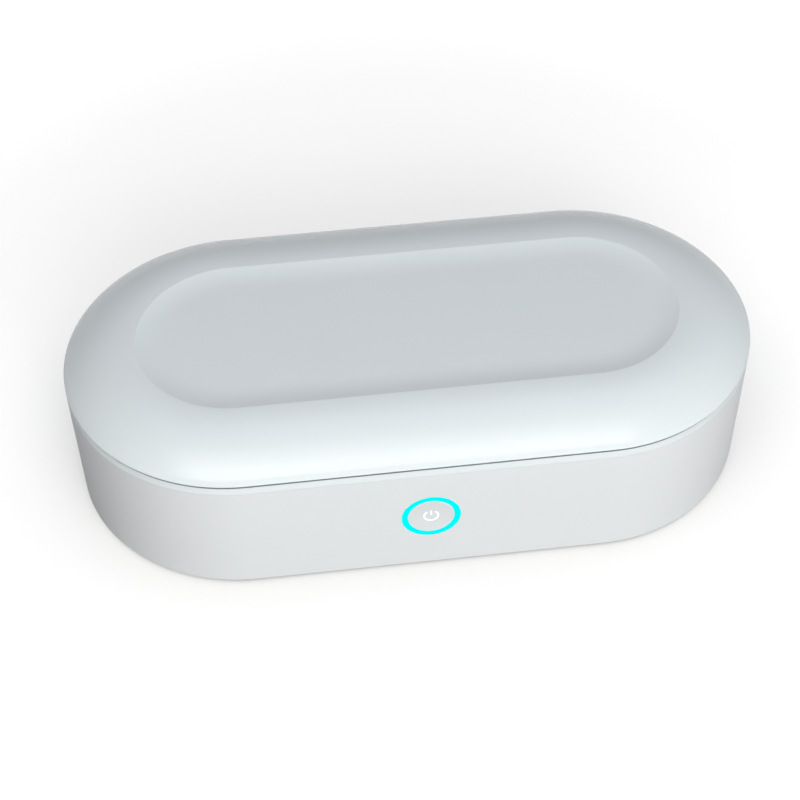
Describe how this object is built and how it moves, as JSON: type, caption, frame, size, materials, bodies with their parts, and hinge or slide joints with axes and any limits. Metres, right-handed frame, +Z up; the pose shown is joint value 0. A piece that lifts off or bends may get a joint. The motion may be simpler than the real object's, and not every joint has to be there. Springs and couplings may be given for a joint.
{
  "type": "uv sanitizer box for phones",
  "caption": "Stadium-shaped desktop UV-C box with a hinged domed lid over a mirrored phone chamber, a lit push button and a USB-C inlet.",
  "frame": {"origin": "middle of the outline at table level, under the feet", "axes": "+X along the length, to the right seen from the front; the front with the button faces -Y; +Z up"},
  "size_m": [0.22, 0.109, 0.0566],
  "materials": {
    "shell_white": "high gloss moulded ABS",
    "lid_white": "high gloss moulded ABS",
    "button_white": "satin gloss moulded ABS",
    "cover_white": "fine moulded texture",
    "mirror_plastic": "vacuum metallised",
    "light_guide": "lit acrylic light guide",
    "foot_rubber": "matte",
    "seal_silicone": "matte silicone",
    "screw_steel": "zinc plated",
    "pin_steel": "ground",
    "magnet_nickel": "nickel plated",
    "board_green": "solder mask",
    "board_metal": "white solder mask on metal core",
    "lamp_ceramic": "ceramic package",
    "led_package": "moulded package",
    "quartz": "polished quartz",
    "chip_black": "moulded package",
    "inductor_grey": "ferrite",
    "capacitor_can": "bare can",
    "connector_ivory": "moulded nylon",
    "switch_black": "moulded",
    "socket_steel": "drawn and plated"
  },
  "bodies": {
    "base": {"base_housing": "shell_white", "bottom_cover": "cover_white", "foot_front_left": "foot_rubber", "foot_front_right": "foot_rubber", "foot_rear_left": "foot_rubber", "foot_rear_right": "foot_rubber", "bottom_screws": "screw_steel", "chamber_tub": "mirror_plastic", "hinge_pin_left": "pin_steel", "hinge_pin_right": "pin_steel", "light_ring": "light_guide", "switch_board": "board_green", "tact_switch": "switch_black", "ring_leds": "led_package", "main_board": "board_green", "controller_chip": "chip_black", "power_inductor": "inductor_grey", "capacitors": "capacitor_can", "board_connectors": "connector_ivory", "usb_socket": "socket_steel", "usb_tongue": "switch_black", "base_magnets": "magnet_nickel", "lid_sensor": "chip_black", "base_led_board": "board_metal", "base_uvc_leds": "lamp_ceramic", "base_windows": "quartz"},
    "button": {"power_button": "button_white", "switch_plunger": "switch_black"},
    "lid": {"lid_shell": "lid_white", "lid_liner": "mirror_plastic", "lid_seal": "seal_silicone", "lid_magnets": "magnet_nickel", "lid_screws": "screw_steel", "lid_led_board": "board_metal", "lid_uvc_leds": "lamp_ceramic", "lid_windows": "quartz"}
  },
  "joints": [
    {"name": "lid_hinge", "type": "hinge", "parent": "base", "child": "lid", "pos_m": [0, 0.052, 0.0415], "axis": [-1, 0, 0], "range_deg": [0, 105]},
    {"name": "power_button_press", "type": "slide", "parent": "base", "child": "button", "axis": [0, 1, 0], "range_m": [0, 0.0005], "stiffness_N_per_m": 3000, "springref_m": -0.0002}
  ]
}
